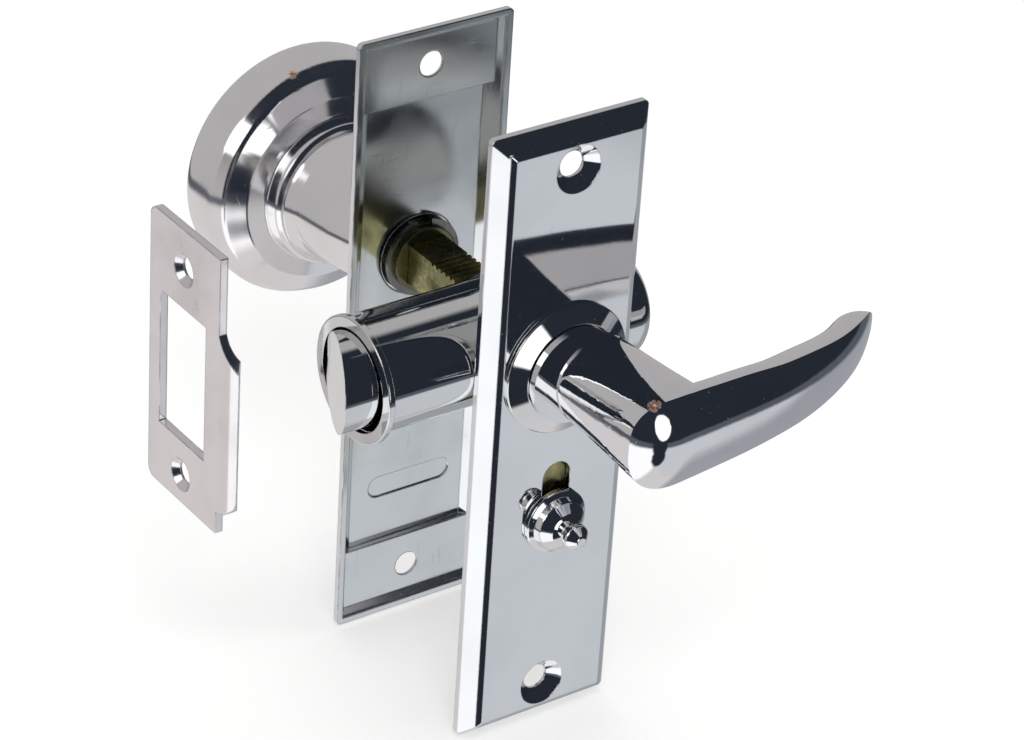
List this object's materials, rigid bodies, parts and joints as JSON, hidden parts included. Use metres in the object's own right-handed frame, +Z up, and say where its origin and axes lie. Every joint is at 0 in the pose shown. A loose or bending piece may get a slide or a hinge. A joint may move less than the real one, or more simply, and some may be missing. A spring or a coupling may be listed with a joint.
{
  "type": "tubular door latch set",
  "caption": "Tubular door latch set: two pressed cover plates, a lever with a sliding snib, a round knob on a square spindle, a spring latch bolt in a tube, and a strike plate.",
  "frame": {"origin": "where the spindle axis crosses the latch tube axis", "axes": "+X back along the latch tube, away from the door's edge; +Y from the lever side to the knob side; +Z up"},
  "size_m": [0.1123, 0.1276, 0.1254],
  "materials": {
    "cover_chrome": "bright chrome plate, fine wear",
    "trim_chrome": "bright chrome plate",
    "handle_chrome": "polished chrome plate, one rust speck",
    "tube_chrome": "polished plate",
    "bolt_chrome": "polished plate",
    "strike_chrome": "worn bright plate",
    "inner_steel": "plain steel",
    "passivated_steel": "olive-gold passivate",
    "hub_metal": "dull plate"
  },
  "bodies": {
    "case": {"front_plate": "cover_chrome", "back_plate": "cover_chrome", "lever_collar": "trim_chrome", "knob_collar": "trim_chrome", "snib_keeper": "inner_steel", "snib_spring": "inner_steel", "latch_tube": "tube_chrome", "latch_flange": "tube_chrome", "strike_plate": "strike_chrome"},
    "handle_set": {"lever_handle": "handle_chrome", "lever_stop_plate": "inner_steel", "lever_circlip": "inner_steel", "spindle": "passivated_steel", "outside_knob": "handle_chrome", "knob_circlip": "inner_steel", "latch_hub": "hub_metal"},
    "bolt": {"latch_bolt": "bolt_chrome", "bolt_tail": "inner_steel", "bolt_rivet": "inner_steel", "bolt_spring": "inner_steel"},
    "snib": {"snib_button": "trim_chrome", "snib_slide": "passivated_steel"}
  },
  "joints": [
    {"name": "lever_turn", "type": "hinge", "parent": "case", "child": "handle_set", "pos_m": [0, 0, 0], "axis": [0, 1, 0], "range_deg": [0, 55], "stiffness_Nm_per_rad": 0.03, "springref_deg": -45.84},
    {"name": "bolt_slide", "type": "slide", "parent": "case", "child": "bolt", "axis": [1, 0, 0], "range_m": [0, 0.0075], "stiffness_N_per_m": 120, "springref_m": -0.01, "deforming": ["bolt_spring"]},
    {"name": "snib_slide", "type": "slide", "parent": "case", "child": "snib", "axis": [0, 0, 1], "range_m": [0, 0.008]}
  ],
  "couplings": [
    {"joint": "bolt_slide", "follows": "lever_turn", "m_per_rad": 0.00781}
  ]
}
